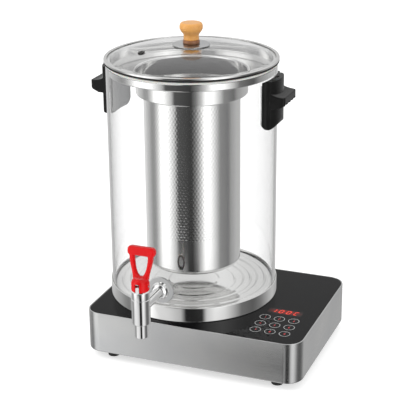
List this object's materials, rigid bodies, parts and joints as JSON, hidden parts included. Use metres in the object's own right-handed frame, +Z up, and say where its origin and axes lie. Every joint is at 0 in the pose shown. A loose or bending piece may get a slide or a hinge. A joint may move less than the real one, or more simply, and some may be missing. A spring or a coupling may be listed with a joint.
{
  "type": "tea urn",
  "caption": "Glass tea urn with a hanging steel tea basket, a lift-off domed lid, two side handles and a self-closing lever tap, standing on its induction hob.",
  "frame": {"origin": "on the surface that the feet stand on, in the middle of the whole urn's box", "axes": "+Z up, the tap points to -Y, +X to the user's right along the hob's front edge"},
  "size_m": [0.3634, 0.3408, 0.4908],
  "materials": {
    "brushed_steel": "brushed",
    "polished_steel": "polished",
    "screw_steel": "satin",
    "chrome": "mirror",
    "aluminium": "satin",
    "copper": "lacquered",
    "black_glass": "high gloss glass-ceramic",
    "clear_glass": "clear",
    "black_rubber": "matt",
    "grey_silicone": "satin",
    "black_plastic": "fine moulded grain",
    "red_plastic": "gloss",
    "red_brown_plastic": "satin",
    "wood": "lacquered",
    "ferrite": "sintered",
    "circuit_board": "solder mask",
    "red_display": "gloss"
  },
  "bodies": {
    "base": {"base_housing": "brushed_steel", "bottom_cover": "black_plastic", "cooktop_glass": "black_glass", "cooktop_seal": "black_rubber", "foot_1": "black_rubber", "foot_2": "black_rubber", "foot_3": "black_rubber", "foot_4": "black_rubber", "foot_screw_1": "screw_steel", "foot_screw_2": "screw_steel", "foot_screw_3": "screw_steel", "foot_screw_4": "screw_steel", "power_inlet": "black_plastic", "induction_coil": "copper", "coil_carrier": "black_plastic", "ferrite_star": "ferrite", "temperature_sensor": "aluminium", "power_board": "circuit_board", "heatsink": "aluminium", "fan_housing": "black_plastic", "touch_board": "circuit_board", "display_module": "red_display"},
    "fan": {"fan_rotor": "black_plastic"},
    "vessel": {"base_pan": "polished_steel", "heat_plate": "brushed_steel", "lower_seal": "grey_silicone", "glass_cylinder": "clear_glass", "top_gasket": "grey_silicone", "top_collar": "polished_steel", "handle_right": "black_plastic", "handle_left": "black_plastic", "handle_plate_right": "brushed_steel", "handle_plate_left": "brushed_steel", "handle_screw_right_1": "screw_steel", "handle_screw_right_2": "screw_steel", "handle_screw_left_1": "screw_steel", "handle_screw_left_2": "screw_steel", "tap_body": "chrome", "tap_washer": "polished_steel", "tap_outer_seal": "grey_silicone", "tap_inner_seal": "grey_silicone", "tap_nut": "polished_steel", "tap_bonnet": "chrome", "tap_spring": "screw_steel"},
    "basket": {"basket_collar": "polished_steel", "basket_body": "polished_steel", "basket_floor": "polished_steel"},
    "lid": {"lid_rim": "polished_steel", "lid_glass": "clear_glass", "vent_eyelet": "polished_steel", "knob_disc": "polished_steel", "knob_ring": "red_brown_plastic", "lid_knob": "wood", "knob_washer": "grey_silicone", "knob_screw": "screw_steel"},
    "plunger": {"tap_plunger": "screw_steel", "valve_cup": "grey_silicone"},
    "lever": {"tap_lever": "red_plastic", "lever_pin": "screw_steel"}
  },
  "joints": [
    {"name": "vessel_lift", "type": "slide", "parent": "base", "child": "vessel", "axis": [0, 0, 1], "range_m": [0, 0.12]},
    {"name": "basket_lift", "type": "slide", "parent": "vessel", "child": "basket", "axis": [0, 0, 1], "range_m": [0, 0.3]},
    {"name": "lid_lift", "type": "slide", "parent": "basket", "child": "lid", "axis": [0, 0, 1], "range_m": [0, 0.12]},
    {"name": "tap_plunger_lift", "type": "slide", "parent": "vessel", "child": "plunger", "axis": [0, 0, 1], "range_m": [0, 0.0061], "deforming": ["tap_spring"]},
    {"name": "tap_lever_tilt", "type": "hinge", "parent": "plunger", "child": "lever", "pos_m": [-0.03075, -0.15728, 0.1624], "axis": [1, 0, 0], "range_deg": [0, 40], "stiffness_Nm_per_rad": 0.4, "springref_deg": -5.73},
    {"name": "fan_spin", "type": "hinge", "parent": "base", "child": "fan", "pos_m": [0.12015, 0.07672, 0.03], "axis": [0, 0, 1], "continuous": true}
  ],
  "couplings": [
    {"joint": "tap_plunger_lift", "follows": "tap_lever_tilt", "m_per_rad": 0.0085944}
  ]
}
